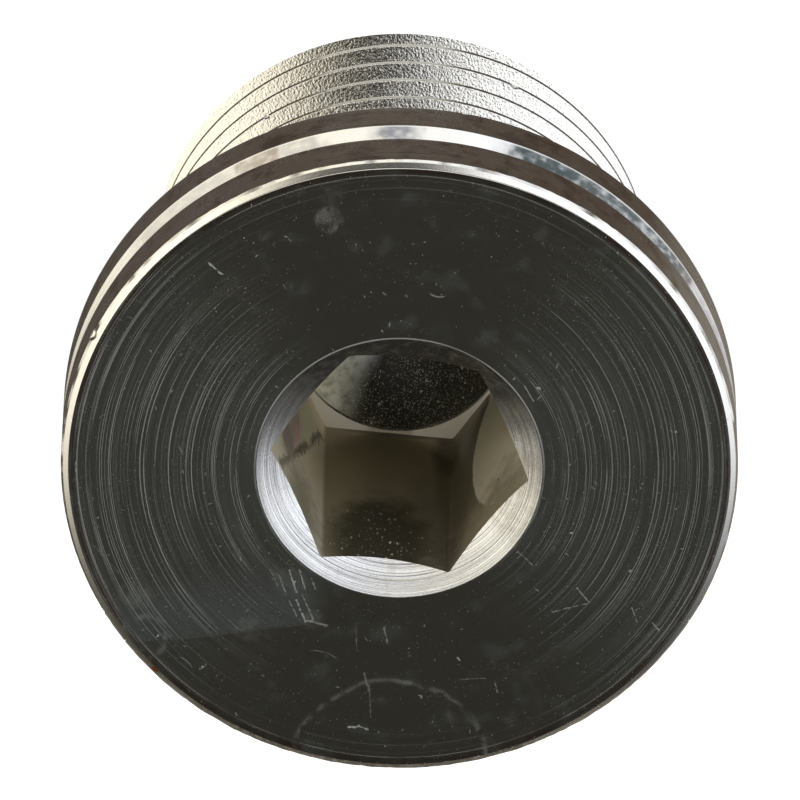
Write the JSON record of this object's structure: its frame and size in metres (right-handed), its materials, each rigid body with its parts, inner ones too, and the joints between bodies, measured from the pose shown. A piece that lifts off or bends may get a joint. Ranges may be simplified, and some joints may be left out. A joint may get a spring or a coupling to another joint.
{
  "type": "hex socket plug",
  "caption": "Round steel screw plug with a grooved collar, an external thread and an internal hexagon for a key.",
  "frame": {"origin": "centre of the flat end face of the threaded stud, which the plug stands on", "axes": "+Z along the plug's axis, from the stud's end towards the head; +X through a corner of the hexagon"},
  "size_m": [0.024, 0.024, 0.019],
  "materials": {
    "plated_steel": "turned steel with a thin clear zinc plating, lightly scratched"
  },
  "bodies": {
    "root": {"plug_body": "plated_steel"}
  },
  "joints": []
}
